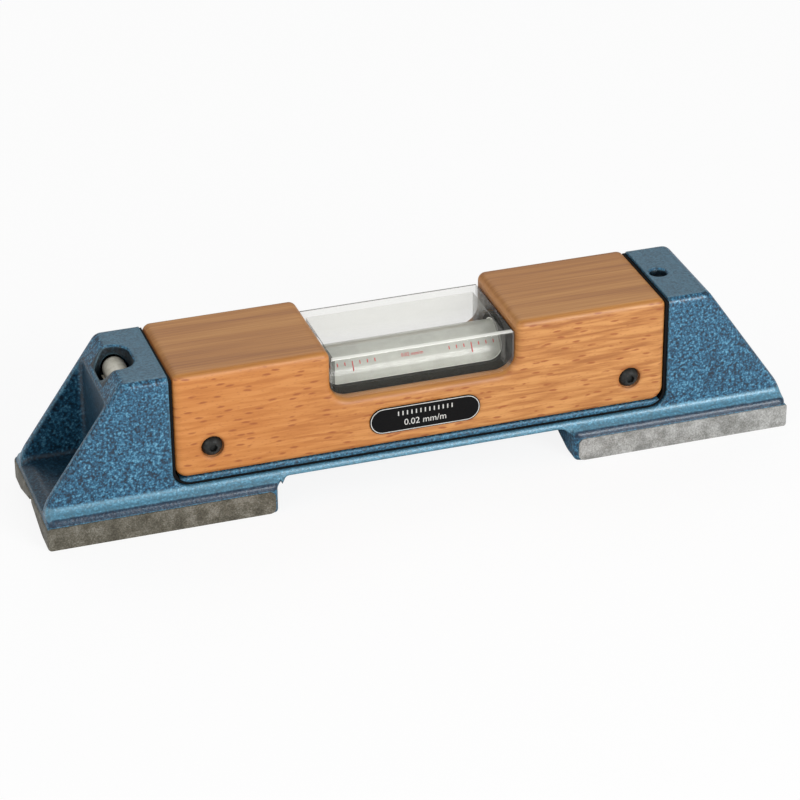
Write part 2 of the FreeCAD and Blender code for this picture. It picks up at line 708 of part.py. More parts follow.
def vial_carrier():
    """Tube round the main vial with its upper half milled away at the window."""
    tube = rod(CARRIER_R, vial_axis(-CARRIER_HALF), vial_axis(CARRIER_HALF))
    bore = rod(CARRIER_BORE_R, vial_axis(-LENGTH), vial_axis(LENGTH))
    sill = VIAL_AXIS_Z + WINDOW_SILL
    window = prism_y([
        (-WINDOW_HALF, sill, WINDOW_R),
        (WINDOW_HALF, sill, WINDOW_R),
        (WINDOW_HALF, sill + MARGIN, 0),
        (-WINDOW_HALF, sill + MARGIN, 0),
    ], -CARRIER_R - 1, CARRIER_R + 1)
    return tube.cut([bore, window])


def capsule(radius, end_radius, start, end):
    """Rod with rounded end edges."""
    body = rod(radius, start, end)
    return body.makeFillet(end_radius, [edge for edge in body.Edges if edge.isClosed()])


def main_vial_bore():
    reach = VIAL_HALF - VIAL_WALL
    return capsule(VIAL_BORE_R, VIAL_DOME_R - VIAL_WALL, vial_axis(-reach), vial_axis(reach))


def main_vial_glass():
    outside = capsule(VIAL_R, VIAL_DOME_R, vial_axis(-VIAL_HALF), vial_axis(VIAL_HALF))
    return outside.cut(main_vial_bore())


def main_vial_fluid():
    """Liquid filling with the bubble's hollow along its top."""
    reach = VIAL_HALF - VIAL_WALL - FLUID_CLEARANCE
    radius = VIAL_BORE_R - FLUID_CLEARANCE
    fluid = capsule(radius, VIAL_DOME_R - VIAL_WALL, vial_axis(-reach), vial_axis(reach))
    height = vec(0, 0, radius + BUBBLE_R - BUBBLE_DEPTH)
    start = vial_axis(BUBBLE_INSET - reach) + height
    end = start + ACROSS_X * BUBBLE_LENGTH
    return fluid.cut(capsule(BUBBLE_R, BUBBLE_R * 0.97, start, end))


def main_vial_cement():
    """Cement discs that close the carrier behind the vial's ends."""
    radius = CARRIER_BORE_R - SPIGOT_CLEARANCE
    disc = rod(radius, vial_axis(VIAL_HALF), vial_axis(VIAL_HALF + CEMENT_T))
    return pair(disc, ACROSS_X)


def carrier_cap():
    """Right-hand end cap with its spigot."""
    rim = rod(CARRIER_R, vial_axis(CARRIER_HALF), vial_axis(CARRIER_HALF + CAP_T))
    radius = CARRIER_BORE_R - SPIGOT_CLEARANCE
    spigot = rod(radius, vial_axis(CARRIER_HALF - SPIGOT_LENGTH), vial_axis(CARRIER_HALF))
    return rim.fuse(spigot)


def carrier_cap_left():
    """Left cap with the tongue that turns on the pivot pin."""
    half = TONGUE_T / 2
    root = -CARRIER_HALF - CAP_T / 2
    tongue = prism_y([
        (root, SCREW_Z - TONGUE_R, 0),
        (root, SCREW_Z + TONGUE_R, 0),
        (-SCREW_X - TONGUE_R, SCREW_Z + TONGUE_R, TONGUE_R * 0.98),
        (-SCREW_X - TONGUE_R, SCREW_Z - TONGUE_R, TONGUE_R * 0.98),
    ], -half, half)
    hole = rod(PIVOT_R + PIVOT_FIT, vec(-SCREW_X, -MARGIN, SCREW_Z), vec(-SCREW_X, MARGIN, SCREW_Z))
    return mirrored(carrier_cap(), ACROSS_X).fuse(tongue).cut(hole)


def carrier_cap_right():
    """Right cap with the arm that reaches the adjusting screw in the end block."""
    half = ARM_T / 2
    outline = rectangle(CARRIER_HALF + CAP_T / 2, ADJUST_X + ARM_BEYOND, -ARM_HALF, ARM_HALF, 0)
    arm = prism_z(outline, VIAL_AXIS_Z - half, VIAL_AXIS_Z + half)
    seat = rod(NUT_R + NUT_FIT, vec(ADJUST_X, 0, 0), vec(ADJUST_X, 0, HOOD_TOP))
    return carrier_cap().fuse(arm).cut(seat)


def adjusting_nut():
    """Flanged bush in the arm that the adjusting screw runs in."""
    low = VIAL_AXIS_Z - ARM_T / 2
    centre = vec(ADJUST_X, 0, low)
    body = rod(NUT_R, centre - UP * NUT_FLANGE_T, centre + UP * ARM_T)
    flange = rod(NUT_FLANGE_R, centre - UP * NUT_FLANGE_T, centre)
    hole = rod(ADJUST_R + ADJUST_FIT, centre - UP * MARGIN, centre + UP * MARGIN)
    return body.fuse(flange).cut(hole)


def adjusting_screw():
    """Captive screw with a socket head and a plain tip."""
    axis = vec(ADJUST_X, 0, 0)
    top = ADJUST_HEAD_Z + ADJUST_HEAD_H
    head = rod(ACCESS_R - ADJUST_HEAD_FIT, axis + UP * ADJUST_HEAD_Z, axis + UP * top)
    shank = rod(ADJUST_R, axis + UP * (CAVITY_FLOOR - TIP_REACH), axis + UP * ADJUST_HEAD_Z)
    socket = hexagon(ADJUST_KEY_AF, ADJUST_KEY_DEPTH, axis + UP * (top - ADJUST_KEY_DEPTH), UP)
    return head.fuse(shank).cut(socket)


def screw_retainer():
    """Ring pressed into the access bore over the screw's head."""
    low = vec(ADJUST_X, 0, ADJUST_HEAD_Z + ADJUST_HEAD_H + END_PLAY)
    ring = rod(ACCESS_R - RETAINER_FIT, low, low + UP * RETAINER_H)
    return ring.cut(rod(RETAINER_HOLE_R, low - UP, low + UP * MARGIN))


# ---------------------------------------------------------------- cross vial
def cross_axis(y):
    return vec(-CROSS_X, y, CROSS_Z)


def cross_vial_glass():
    outside = capsule(CROSS_R, CROSS_R * 0.95, cross_axis(-CROSS_FRONT), cross_axis(CROSS_BACK))
    bore_r = CROSS_R - CROSS_WALL
    front = cross_axis(-CROSS_FRONT + CROSS_WALL)
    bore = capsule(bore_r, bore_r * 0.95, front, cross_axis(CROSS_BACK - CROSS_WALL))
    return outside.cut(bore)


def cross_vial_fluid():
    """Liquid of the cross vial with its own bubble."""
    radius = CROSS_R - CROSS_WALL - FLUID_CLEARANCE
    front = cross_axis(-CROSS_FRONT + CROSS_WALL + FLUID_CLEARANCE)
    back = cross_axis(CROSS_BACK - CROSS_WALL - FLUID_CLEARANCE)
    fluid = capsule(radius, radius * 0.95, front, back)
    height = vec(0, 0, radius + CROSS_BUBBLE_R - CROSS_BUBBLE_DEPTH)
    middle = (CROSS_BACK - CROSS_FRONT) / 2
    half = CROSS_BUBBLE_LENGTH / 2
    start = cross_axis(middle - half) + height
    end = cross_axis(middle + half) + height
    return fluid.cut(capsule(CROSS_BUBBLE_R, CROSS_BUBBLE_R * 0.95, start, end))


def cross_vial_plaster():
    """Plaster bed under the cross vial, along its straight part."""
    front = cross_axis(-CROSS_FRONT + CROSS_R)
    back = cross_axis(CROSS_BACK - CROSS_R)
    bed = rod(CROSS_R + CROSS_BORE_GAP - CROSS_FIT, front, back)
    glass = rod(CROSS_R + CROSS_FIT, front - ACROSS_Y, back + ACROSS_Y)
    reach = CROSS_R + MARGIN
    above = block(-CROSS_X - reach, -CROSS_X + reach, -MARGIN * 2, MARGIN * 2,
                  CROSS_Z + PLASTER_TOP, CROSS_Z + MARGIN)
    return bed.cut([glass, above])


def cross_vial_plug():
    """Plug that closes the cross vial's bore at the back wall."""
    face = wall_at(CROSS_Z) - PLUG_SINK
    radius = CROSS_R + CROSS_BORE_GAP - PLUG_FIT
    return rod(radius, cross_axis(face - PLUG_T), cross_axis(face))


# ---------------------------------------------------------------- output
NODES = {
    "base_casting": base_casting,
    "hood_seal": hood_seal,
    "wood_hood": wood_hood,
    "window_cover": window_cover,
    "hood_screws_front": hood_screws_front,
    "hood_screws_back": hood_screws_back,
    "data_plate": lambda: plate_blank(HOOD_Y - PLATE_T + PLATE_PROUD),
    "mount_block_left": mount_block_left,
    "mount_block_right": mount_block_right,
    "mount_block_screws": mount_block_screws,
    "pivot_pin": pivot_pin,
    "vial_carrier": vial_carrier,
    "carrier_cap_left": carrier_cap_left,
    "carrier_cap_right": carrier_cap_right,
    "main_vial_glass": main_vial_glass,
    "main_vial_fluid": main_vial_fluid,
    "main_vial_cement": main_vial_cement,
    "adjusting_nut": adjusting_nut,
    "adjusting_screw": adjusting_screw,
    "screw_retainer": screw_retainer,
    "cross_vial_glass": cross_vial_glass,
    "cross_vial_fluid": cross_vial_fluid,
    "cross_vial_plaster": cross_vial_plaster,
    "cross_vial_plug": cross_vial_plug,
}


def main():
    os.makedirs("parts", exist_ok=True)
    for name, build in NODES.items():
        build().exportStep("parts/" + name + ".step")


main()
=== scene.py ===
"""Precision machinist level: cast body, wooden hood, clear cover and two vials."""
import json
import math

import bmesh
import bpy
from mathutils import Matrix, Vector


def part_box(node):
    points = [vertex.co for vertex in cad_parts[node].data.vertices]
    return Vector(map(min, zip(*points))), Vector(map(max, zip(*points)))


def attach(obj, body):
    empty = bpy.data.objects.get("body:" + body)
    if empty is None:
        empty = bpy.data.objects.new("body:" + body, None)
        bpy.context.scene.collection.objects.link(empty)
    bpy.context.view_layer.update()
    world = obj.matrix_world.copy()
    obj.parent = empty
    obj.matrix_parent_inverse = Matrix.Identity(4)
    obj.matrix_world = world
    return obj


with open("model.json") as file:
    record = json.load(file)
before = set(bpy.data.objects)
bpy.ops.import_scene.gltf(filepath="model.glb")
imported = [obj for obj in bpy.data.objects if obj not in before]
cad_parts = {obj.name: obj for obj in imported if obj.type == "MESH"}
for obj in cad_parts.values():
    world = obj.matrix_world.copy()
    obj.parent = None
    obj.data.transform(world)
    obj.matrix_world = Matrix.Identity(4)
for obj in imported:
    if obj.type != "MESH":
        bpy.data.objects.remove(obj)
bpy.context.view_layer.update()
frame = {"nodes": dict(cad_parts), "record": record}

# Metres and radians. X runs along the level, Y from front to back, Z up.
MM = 0.001


# ---------------------------------------------------------------- places, from the frame
CASTING_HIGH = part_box("base_casting")[1]
BLOCK_TOP = CASTING_HIGH.z
COVER_LOW, COVER_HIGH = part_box("window_cover")
PLATE_LOW, PLATE_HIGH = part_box("data_plate")
PLATE_X = (PLATE_LOW.x + PLATE_HIGH.x) / 2
PLATE_Z = (PLATE_LOW.z + PLATE_HIGH.z) / 2
VIAL_LOW, VIAL_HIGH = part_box("main_vial_glass")
VIAL_R = (VIAL_HIGH.y - VIAL_LOW.y) / 2
VIAL_AXIS_Z = (VIAL_HIGH.z + VIAL_LOW.z) / 2

# Places on the cast body that its box doesn't give.
PAD_HEIGHT = 6.2 * MM               # ground faces round the feet
PAD_PROUD = 0.4 * MM
FOOT_INNER = 40.0 * MM              # inner ends of the feet, from the middle
BORE_X, BORE_R = 69.8 * MM, 2.4 * MM                            # access to the screw
SLOT_X, SLOT_HALF_X, SLOT_HALF_Y = -76.5 * MM, 4.6 * MM, 6.6 * MM  # over the cross vial
POCKET_HALF_Y = 12.6 * MM
POCKET_X = 80.8 * MM                # inner walls of the end pockets
FLANGE_Y = 18.0 * MM                # where the flange turns down
# Heights of the flange's shoulder, where a highlight is painted.
FLANGE_LOW, FLANGE_HIGH = 7.4 * MM, 10.6 * MM

# Marks on the vial, in millimetres along it from its middle.
LONG_MARK = 16
SHORT_MARKS = 3
MARK_STEP = 2
MARK_ANGLE = math.radians(50.0)     # forward of the vial's top
LONG_MARK_ANGLE = math.radians(56.0)
INK = 0.06 * MM                     # thickness of marks and scales

FLOOR_GLOW = 0.88                   # share that shines for camera and transmission rays
WORLD_LIGHT = 0.42


# ---------------------------------------------------------------- shader maths
class Term:
    """A shader socket. Python operators on it add Math nodes."""

    def __init__(self, finish, socket):
        self.finish = finish
        self.socket = socket

    def of_output(self, name):
        return Term(self.finish, self.socket.node.outputs[name])

    def maths(self, operation, *values):
        return self.finish.node("Math", {"operation": operation}, dict(enumerate(values)))

    def __add__(self, other):
        return self.maths("ADD", self, other)

    def __radd__(self, other):
        return self.maths("ADD", other, self)

    def __sub__(self, other):
        return self.maths("SUBTRACT", self, other)

    def __rsub__(self, other):
        return self.maths("SUBTRACT", other, self)

    def __mul__(self, other):
        return self.maths("MULTIPLY", self, other)

    def __rmul__(self, other):
        return self.maths("MULTIPLY", other, self)

    def __abs__(self):
        return self.maths("ABSOLUTE", self)

    def most(self, other):
        return self.maths("MAXIMUM", self, other)

    def power(self, exponent):
        return self.maths("POWER", self, exponent)

    def root(self):
        return self.maths("SQRT", self)

    def step(self, start, end):
        """Smooth rise from 0 at start to 1 at end, or fall where end is lower."""
        settings = {"interpolation_type": "SMOOTHSTEP"}
        rising = end > start
        sockets = {0: self, 1: min(start, end), 2: max(start, end), 3: 0.0, 4: 1.0}
        ramp = self.finish.node("MapRange", settings, sockets)
        return ramp if rising else 1 - ramp


class Finish:
    """A material while it is built."""

    def __init__(self, name):
        self.material = bpy.data.materials.new(name)
        self.material.use_nodes = True
        self.tree = self.material.node_tree
        self.tree.nodes.clear()
        self.output = self.tree.nodes.new("ShaderNodeOutputMaterial")

    def node(self, kind, settings=None, sockets=None, output=0):
        """Adds one node: its settings first, then the values or links of its sockets."""
        made = self.tree.nodes.new("ShaderNode" + kind)
        for name, value in (settings or {}).items():
            if name == "stops":
                set_stops(made.color_ramp, value)
            else:
                setattr(made, name, value)
        for key, value in (sockets or {}).items():
            self.feed(made.inputs[key], value)
        return Term(self, made.outputs[output])

    def feed(self, socket, value):
        if isinstance(value, Term):
            self.tree.links.new(value.socket, socket)
        else:
            socket.default_value = value

    def place(self):
        return self.node("TexCoord", output="Object")

    def facing(self):
        """The three parts of the direction that the surface faces."""
        return self.split(self.node("TexCoord", output="Normal"))

    def split(self, vector):
        """The three parts of a vector."""
        parts = self.node("SeparateXYZ", sockets={0: vector})
        return [parts.of_output(name) for name in "XYZ"]

    def stretched(self, scale):
        """Object coordinates scaled along each axis."""
        return self.node("Mapping", sockets={"Vector": self.place(), "Scale": scale})

    def noise(self, vector, scale, detail=2.0, roughness=0.5, distortion=0.0):
        sockets = {"Vector": vector, "Scale": scale, "Detail": detail,
                   "Roughness": roughness, "Distortion": distortion}
        return self.node("TexNoise", sockets=sockets)

    def soft_cells(self, vector, scale):
        sockets = {"Vector": vector, "Scale": scale, "Smoothness": 0.5}
        return self.node("TexVoronoi", {"feature": "SMOOTH_F1"}, sockets)

    def flat_cells(self, vector, scale):
        """Distance to the nearest of scattered points, in the vector's X and Y."""
        settings = {"feature": "F1", "voronoi_dimensions": "2D"}
        return self.node("TexVoronoi", settings, {"Vector": vector, "Scale": scale})

    def ramp(self, value, stops):
        """Colour ramp: stops are (place, colour)."""
        return self.node("ValToRGB", {"stops": stops}, {"Fac": value})

    def blend(self, factor, first, second):
        sockets = {0: factor, 6: first, 7: second}
        return self.node("Mix", {"data_type": "RGBA"}, sockets, output=2)

    def bump(self, height, distance, strength=1.0, below=None):
        sockets = {"Height": height, "Distance": distance, "Strength": strength}
        if below is not None:
            sockets["Normal"] = below
        return self.node("Bump", sockets=sockets)

    def normal(self):
        return self.node("NewGeometry").of_output("Normal")

    def edges(self, radius):
        """Rounded shading normal, and a mask that rises to 1 along the edges."""
        soft = self.node("Bevel", {"samples": 6}, {"Radius": radius})
        along = self.node("VectorMath", {"operation": "DOT_PRODUCT"},
                          {0: soft, 1: self.normal()}, output="Value")
        return soft, (1 - along).step(0.01, 0.2)

    def surface(self, **sockets):
        """Principled surface. Keywords are its sockets, with _ for a space."""
        named = {name.replace("_", " "): value for name, value in sockets.items()}
        return self.node("BsdfPrincipled", sockets=named)

    def finished(self, shader):
        self.tree.links.new(shader.socket, self.output.inputs["Surface"])
        return self.material


def set_stops(ramp, stops):
    while len(ramp.elements) < len(stops):
        ramp.elements.new(1.0)
    for element, (place, colour) in zip(ramp.elements, stops):
        element.position = place
        element.color = colour


def rgb(red, green, blue):
    """Linear colour from screen values of 0 to 255."""
    def linear(value):
        share = value / 255
        return share / 12.92 if share <= 0.04045 else ((share + 0.055) / 1.055) ** 2.4
    return (linear(red), linear(green), linear(blue), 1.0)


# ---------------------------------------------------------------- finishes of the cast body
def hammertone_paint():
    """Blue hammered paint with a painted reflection on the flat tops, painted shade in the holes,
    pockets and the undercut band, and painted highlights on the flange shoulder and rims; bare
    ground metal on the feet.
    """
    f = Finish("hammertone_paint")
    x, y, z = f.split(f.place())
    facing_up = f.facing()[2]
    soft, edge = f.edges(1.3 * MM)
    mottle = f.noise(f.place(), 1350.0, 2.0, 0.6, 0.3)
    flake = f.soft_cells(f.place(), 1700.0)
    drift = f.noise(f.place(), 160.0, 2.0)
    pattern = mottle * 0.7 + (1 - flake) * 0.3 + (drift - 0.5) * 0.12
    paint = f.ramp(pattern, [
        (0.36, rgb(12, 35, 52)),
        (0.47, rgb(24, 72, 100)),
        (0.56, rgb(42, 102, 134)),
        (0.72, rgb(98, 158, 186)),
    ])
    # Painted reflection: the flat block tops get a smoother grey-blue, standing in for the pale
    # surroundings reflected there.
    on_top = facing_up.step(0.9, 0.985) * z.step(BLOCK_TOP - 3 * MM, BLOCK_TOP - 1 * MM)
    top_sheen = f.ramp(pattern, [(0.35, rgb(34, 74, 94)), (0.65, rgb(62, 108, 130))])
    paint = f.blend(on_top, paint, top_sheen)
    # Painted shade: the screw bore and the slot over the cross vial are darkened almost to black.
    soft_rim = 0.1 * MM
    bore = (abs(x - BORE_X).step(BORE_R + soft_rim, BORE_R)
            * abs(y).step(BORE_R + soft_rim, BORE_R))
    slot = (abs(x - SLOT_X).step(SLOT_HALF_X + soft_rim, SLOT_HALF_X)
            * abs(y).step(SLOT_HALF_Y + soft_rim, SLOT_HALF_Y))
    hole_shade = bore.most(slot) * z.step(BLOCK_TOP - 0.3 * MM, BLOCK_TOP - 0.6 * MM)
    paint = f.blend(hole_shade * 0.9, paint, rgb(3, 8, 12))
    # Painted shade: the inside of the end pockets is darkened to navy.
    pocket_shade = (abs(y).step(POCKET_HALF_Y + 0.6 * MM, POCKET_HALF_Y)
              * abs(x).step(POCKET_X, POCKET_X + 1.4 * MM)
              * z.step(BLOCK_TOP - 1 * MM, BLOCK_TOP - 8 * MM))
    paint = f.blend(pocket_shade * 0.72, paint, rgb(8, 24, 36))
    # Painted shade: a dark navy band on the flange's side just above the bare pads, in the
    # undercut.
    skirt_shade = (abs(y).step(FLANGE_Y, FLANGE_Y + 0.5 * MM)
             * z.step(PAD_HEIGHT, PAD_HEIGHT + 0.3 * MM))
    paint = f.blend(skirt_shade * 0.85, paint, rgb(8, 34, 56))
    # Painted highlight: the flange's up-facing shoulder is made lighter blue.
    flange = (abs(y).step(13.5 * MM, 15 * MM) * (1 - skirt_shade)
              * z.step(FLANGE_HIGH, FLANGE_HIGH - 1 * MM)
              * z.step(FLANGE_LOW, FLANGE_LOW + 0.5 * MM))
    paint = f.blend(flange * 0.34, paint, rgb(134, 190, 212))
    # Painted highlight: the rounded rims are lighter blue, except in the band of painted shade.
    paint = f.blend(edge * 0.26 * (1 - skirt_shade), paint, rgb(120, 178, 202))
    hills = f.bump(pattern, 0.22 * MM, 0.7, soft)
    painted = f.surface(Base_Color=paint, Metallic=0.1, Roughness=0.38, Normal=hills,
                        Coat_Weight=0.25, Coat_Roughness=0.15)
    ground = bare_ground(f, x)
    bare = ground_places(x, y, z, facing_up)
    return f.finished(f.node("MixShader", sockets={0: bare, 1: painted, 2: ground}))


def bare_ground(f, x):
    """Ground iron, with painted shade making the left foot darker and browner and painted light
    making the right foot lighter and grey.
    """
    speck = f.noise(f.place(), 2300.0, 4.0, 0.7)
    patches = f.noise(f.place(), 330.0, 3.0, 0.6)
    grain = speck * 0.55 + patches * 0.45
    shaded_metal = f.ramp(grain, [
        (0.38, rgb(70, 66, 56)),
        (0.50, rgb(98, 94, 82)),
        (0.62, rgb(136, 132, 122)),
    ])
    lit_metal = f.ramp(grain, [
        (0.38, rgb(118, 118, 114)),
        (0.50, rgb(152, 152, 149)),
        (0.62, rgb(188, 188, 186)),
    ])
    # Painted light: the left foot is shaded darker and browner, the right foot lit lighter, as if
    # the light falls from the right.
    metal = f.blend(x.step(-30 * MM, 30 * MM), shaded_metal, lit_metal)
    tooth = f.bump(speck, 0.05 * MM, 0.5)
    return f.surface(Base_Color=metal, Metallic=0.35, Roughness=0.46, Normal=tooth)


def ground_places(x, y, z, facing_up):
    """Mask of the faces that are ground bare: pads, sole, its V and the end corners."""
    side = CASTING_HIGH.y - PAD_PROUD / 2
    end = CASTING_HIGH.x - PAD_PROUD / 2
    on_side = abs(y).step(side - 0.15 * MM, side - 0.1 * MM)
    on_end = abs(x).step(end - 0.15 * MM, end - 0.1 * MM)
    under = z.step(0.05 * MM, 0.02 * MM)
    corner = z.step(1.1 * MM, 1.05 * MM) * abs(x).step(end - 1.1 * MM, end - 1.0 * MM)
    in_vee = (facing_up.step(-0.3, -0.5) * z.step(5.6 * MM, 5.4 * MM)
              * abs(x).step(FOOT_INNER + 0.9 * MM, FOOT_INNER + 1 * MM))
    bare = on_side.most(on_end).most(under).most(corner).most(in_vee)
    return bare * z.step(PAD_HEIGHT + 0.05 * MM, PAD_HEIGHT)


def seal_rubber():
    f = Finish("seal_rubber")
    tooth = f.noise(f.place(), 2500.0, 2.0)
    colour = f.ramp(tooth, [(0.3, rgb(5, 5, 6)), (0.7, rgb(13, 13, 14))])
    return f.finished(f.surface(Base_Color=colour, Roughness=0.7, Specular_IOR_Level=0.15))


# ---------------------------------------------------------------- wood
def hood_wood():
    """Varnished beech: short dark rays on the faces, fine straight grain on the top; painted shade
    makes the top and the rounded edges darker and the left of the faces deeper orange.
    """
    f = Finish("hood_wood")
    x, _, z = f.split(f.place())
    soft, edge = f.edges(1.8 * MM)
    on_top = f.facing()[2].step(0.35, 0.8)
    ripple = f.noise(f.stretched((0.10, 0.0, 1.0)), 760.0, 2.0, 0.5, 0.5)
    fine = f.noise(f.stretched((0.05, 0.3, 1.0)), 2400.0, 3.0, 0.6)
    drift = f.noise(f.stretched((0.3, 1.0, 1.0)), 45.0, 2.0)
    grain = ripple * 0.62 + fine * 0.23 + drift * 0.15
    front = f.ramp(grain, [
        (0.38, rgb(160, 98, 44)),
        (0.48, rgb(182, 120, 60)),
        (0.58, rgb(200, 140, 78)),
    ])
    # Painted shade: the left part of the faces is deeper orange, as if the light falls from the
    # right.
    front = f.blend(x.step(20 * MM, -60 * MM) * 0.5, front, rgb(196, 118, 46))
    straight = f.noise(f.stretched((0.02, 1.0, 0.3)), 1500.0, 4.0, 0.65)
    band = f.noise(f.stretched((0.04, 1.0, 0.3)), 260.0, 2.0)
    upper_grain = straight * 0.5 + band * 0.5
    # The top's own straight grain, with painted shade making it darker than the faces, as the
    # light comes from the front.
    shaded_top_grain = f.ramp(upper_grain, [
        (0.36, rgb(148, 92, 36)),
        (0.50, rgb(170, 112, 48)),
        (0.64, rgb(188, 132, 66)),
    ])
    base = f.blend(on_top, front, shaded_top_grain)
    wander = (f.noise(f.stretched((1.0, 0.0, 1.0)), 90.0, 1.0) - 0.5) * 2 * MM
    long_face = f.node("CombineXYZ", sockets={0: x * 0.24, 1: z + wander, 2: 0.0})
    short_face = f.node("CombineXYZ", sockets={0: x * 0.34, 1: z + wander, 2: 0.0})
    ray = f.flat_cells(long_face, 520.0)
    weak = f.noise(f.stretched((1.0, 0.0, 1.0)), 260.0, 1.0).step(0.36, 0.5)
    ray_mask = ray.step(0.19, 0.08) * weak * (1 - on_top)
    short_ray_mask = f.flat_cells(short_face, 980.0).step(0.17, 0.06) * (1 - on_top)
    coloured = f.blend(ray_mask * 0.85, base, rgb(150, 78, 30))
    coloured = f.blend(short_ray_mask * 0.35, coloured, rgb(160, 92, 40))
    # Painted shade: the rounded edges are darker brown.
    coloured = f.blend(edge * 0.45, coloured, rgb(158, 82, 30))
    hills = f.bump(grain - ray_mask * 0.3, 0.05 * MM, 0.4, soft)
    wood = f.surface(Base_Color=coloured, Roughness=0.46, Normal=hills,
                     Coat_Weight=0.15, Coat_Roughness=0.3)
    return f.finished(wood)


# ---------------------------------------------------------------- clear parts
def cover_clear():
    """Clear acrylic cover: faint walls, a painted highlight on the front edge, painted dark
    reflections on the back edge and end rims, and painted shade on the end walls.
    """
    f = Finish("cover_clear")
    x, y, z = f.split(f.place())
    haze = f.noise(f.place(), 300.0, 2.0)
    top = COVER_HIGH.z
    back_half = y.step(-2 * MM, 2 * MM)
    # Painted highlight: the rounded front top edge is near white and half opaque.
    front_edge_highlight = (y.step(COVER_LOW.y + 0.8 * MM, COVER_LOW.y + 0.5 * MM)
                  * z.step(top - 1.0 * MM, top - 0.6 * MM))
    # Painted dark reflections: the end rims and the back top edge are dark grey.
    end_rim_dark_reflection = abs(x).step(COVER_HIGH.x - 0.5 * MM, COVER_HIGH.x - 0.35 * MM)
    back_edge_dark_reflection = (y.step(COVER_HIGH.y - 0.7 * MM, COVER_HIGH.y - 0.5 * MM)
                 * z.step(top - 0.9 * MM, top - 0.5 * MM))
    # Painted shade: the clear end walls are dark grey and mostly opaque.
    end_wall_shade = abs(f.facing()[0]).step(0.6, 0.9) * z.step(top - 0.4 * MM, top - 1.0 * MM)
    clear = f.ramp(haze, [(0.3, rgb(222, 222, 208)), (0.7, rgb(230, 230, 216))])
    colour = f.blend(end_wall_shade, clear, rgb(96, 94, 96))
    colour = f.blend(front_edge_highlight, colour, rgb(246, 246, 240))
    colour = f.blend(back_edge_dark_reflection.most(end_rim_dark_reflection * 0.8), colour, rgb(74, 72, 78))
    alpha = back_half * 0.12 + 0.02
    alpha = alpha.most(end_wall_shade * 0.62).most(front_edge_highlight * 0.5)
    alpha = alpha.most(back_edge_dark_reflection * 0.9).most(end_rim_dark_reflection * 0.35)
    return f.finished(f.surface(Base_Color=colour, Alpha=alpha, Roughness=0.08, IOR=1.49))


def glassy(name, light, dark, base_alpha, edge_alpha, roughness):
    """Clear body seen mostly at its grazing edges."""
    f = Finish(name)
    haze = f.noise(f.place(), 400.0, 2.0)
    colour = f.ramp(haze, [(0.3, dark), (0.7, light)])
    facing = f.node("LayerWeight", sockets={"Blend": 0.35}, output="Facing")
    alpha = facing.power(2.0) * edge_alpha + base_alpha
    return f.finished(f.surface(Base_Color=colour, Alpha=alpha, Roughness=roughness))


def cross_vial_milky():
    f = Finish("cross_vial_milky")
    haze = f.noise(f.place(), 900.0, 3.0)
    colour = f.ramp(haze, [(0.3, rgb(196, 192, 176)), (0.7, rgb(222, 219, 206))])
    return f.finished(f.surface(Base_Color=colour, Roughness=0.22,
                                Coat_Weight=0.4, Coat_Roughness=0.08))


# ---------------------------------------------------------------- inner and small parts
def plain_metal(name, dark, light, metallic, roughness):
    """Machined metal with fine turning marks."""
    f = Finish(name)
    marks = f.noise(f.stretched((1.0, 0.3, 1.0)), 1200.0, 3.0, 0.6)
    colour = f.ramp(marks, [(0.35, dark), (0.65, light)])
    tooth = f.bump(marks, 0.02 * MM, 0.5)
    return f.finished(f.surface(Base_Color=colour, Metallic=metallic, Roughness=roughness,
                                Normal=tooth))


def carrier_finish():
    """Black carrier, white inside round the vial, with a faint painted glow."""
    f = Finish("carrier_black")
    _, y, z = f.split(f.place())
    above = z - VIAL_AXIS_Z
    radius = (y * y + above * above).root()
    marks = f.noise(f.place(), 1500.0, 3.0)
    black = f.ramp(marks, [(0.35, rgb(8, 8, 9)), (0.65, rgb(18, 18, 19))])
    white = f.ramp(marks, [(0.35, rgb(232, 232, 224)), (0.65, rgb(242, 242, 236))])
    inside = radius.step(VIAL_R + 0.35 * MM, VIAL_R + 0.25 * MM)
    colour = f.blend(inside, black, white)
    # Painted glow: the whole carrier, black and white, shines faintly in its own colour.
    return f.finished(f.surface(Base_Color=colour, Roughness=0.6, Specular_IOR_Level=0.2,
                                Emission_Color=colour, Emission_Strength=0.15))


def plaster_white():
    f = Finish("plaster_white")
    lumps = f.noise(f.place(), 900.0, 4.0)
    colour = f.ramp(lumps, [(0.35, rgb(206, 198, 176)), (0.65, rgb(228, 222, 204))])
    return f.finished(f.surface(Base_Color=colour, Roughness=0.8, Normal=f.bump(lumps, 0.05 * MM)))


def plain_print(name, dark, light, roughness, metallic=0.0, shine=0.3):
    """Even ink, lacquer or foil with a faint tooth."""
    f = Finish(name)
    tooth = f.noise(f.place(), 3000.0, 2.0)
    colour = f.ramp(tooth, [(0.3, dark), (0.7, light)])
    return f.finished(f.surface(Base_Color=colour, Roughness=roughness, Metallic=metallic,
                                Specular_IOR_Level=shine))


